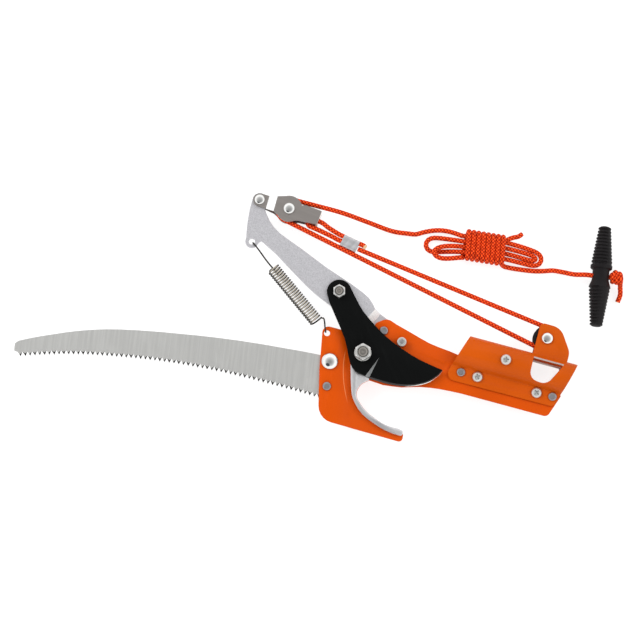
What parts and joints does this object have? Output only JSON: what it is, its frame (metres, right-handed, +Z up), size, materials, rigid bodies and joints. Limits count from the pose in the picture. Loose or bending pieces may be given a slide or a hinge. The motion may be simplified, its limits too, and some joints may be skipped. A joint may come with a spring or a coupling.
{
  "type": "pole pruner saw head",
  "caption": "Rope-worked bypass pruner head with a curved pruning saw, pulley block, return spring and pole socket, rope hank and pull handle",
  "frame": {"origin": "middle of the head's box at the surface that it lies on", "axes": "+X along the pole from the saw to the socket, +Y across the plates towards the rope, +Z up through the plates' thickness"},
  "size_m": [0.503, 0.248, 0.0315],
  "materials": {
    "orange_paint": "gloss",
    "brushed_steel": "satin",
    "black_coating": "matte",
    "zinc_plate": "bright",
    "rope_braid": "woven",
    "black_plastic": "matte"
  },
  "bodies": {
    "frame": {"main_plate": "orange_paint", "front_shell": "orange_paint", "rear_shell": "orange_paint", "anvil_hook": "brushed_steel", "saw_blade": "brushed_steel", "pivot_bolt": "zinc_plate", "pivot_washer": "zinc_plate", "pivot_nut": "zinc_plate", "stop_pin": "zinc_plate", "lever_rivet": "zinc_plate", "saw_bolt": "zinc_plate", "saw_bolt_nut": "zinc_plate", "saw_rivet": "zinc_plate", "shell_rivet_left": "zinc_plate", "shell_rivet_right": "zinc_plate", "shell_screw_left": "zinc_plate", "shell_screw_right": "zinc_plate", "shell_nut_left": "zinc_plate", "shell_nut_right": "zinc_plate", "pole_screw": "zinc_plate", "rear_axle": "zinc_plate", "rope_rear_bight": "rope_braid", "rope_slack": "rope_braid", "rope_hank": "rope_braid", "rope_lead": "rope_braid", "rope_knot": "rope_braid", "rope_loose_end": "rope_braid", "pull_handle": "black_plastic"},
    "blade": {"cutting_blade": "black_coating", "link_bolt": "zinc_plate", "link_nut": "zinc_plate"},
    "lever": {"lever_arm": "brushed_steel"},
    "shackle": {"pulley_strap": "brushed_steel", "strap_rivet": "zinc_plate", "front_axle": "zinc_plate", "rope_eye": "rope_braid", "rope_ferrule": "zinc_plate", "rope_stub": "rope_braid", "rope_upper_fall": "rope_braid", "rope_lower_fall": "rope_braid", "rope_front_bight": "rope_braid"},
    "front_sheave": {"front_sheave": "black_plastic"},
    "rear_sheave": {"rear_sheave": "black_plastic"},
    "spring": {"return_spring": "zinc_plate"},
    "spring_leg": {"spring_eye": "zinc_plate"}
  },
  "joints": [
    {"name": "lever_pivot", "type": "hinge", "parent": "frame", "child": "lever", "pos_m": [0.06178, -0.01905, 0.0144], "axis": [0, 0, -1], "range_deg": [0, 71], "stiffness_Nm_per_rad": 0.6, "springref_deg": -20.05, "deforming": ["rope_upper_fall", "rope_lower_fall", "rope_slack"]},
    {"name": "blade_pivot", "type": "hinge", "parent": "frame", "child": "blade", "pos_m": [0.04928, -0.04365, 0.0144], "axis": [0, 0, -1], "range_deg": [0, 51.18]},
    {"name": "shackle_swing", "type": "hinge", "parent": "lever", "child": "shackle", "pos_m": [-0.07402, 0.06465, 0.0144], "axis": [0, 0, -1], "range_deg": [-31.75, 0]},
    {"name": "front_sheave_spin", "type": "hinge", "parent": "shackle", "child": "front_sheave", "pos_m": [-0.04662, 0.06315, 0.0144], "axis": [0, 0, 1], "continuous": true},
    {"name": "rear_sheave_spin", "type": "hinge", "parent": "frame", "child": "rear_sheave", "pos_m": [0.20078, 0.01115, 0.0144], "axis": [0, 0, 1], "continuous": true},
    {"name": "spring_swing", "type": "hinge", "parent": "frame", "child": "spring", "pos_m": [0.01458, -0.03425, 0.0144], "axis": [0, 0, -1], "range_deg": [0, 71.43]},
    {"name": "spring_stretch", "type": "slide", "parent": "spring", "child": "spring_leg", "axis": [-0.813, 0.5823, 0], "range_m": [0, 0.0578], "deforming": ["return_spring", "spring_eye"]}
  ],
  "couplings": [
    {"joint": "blade_pivot", "follows": "lever_pivot", "ratio": 0.72},
    {"joint": "shackle_swing", "follows": "lever_pivot", "ratio": -0.4464},
    {"joint": "spring_swing", "follows": "lever_pivot", "ratio": 1.0052},
    {"joint": "spring_stretch", "follows": "lever_pivot", "m_per_rad": 0.04647}
  ]
}
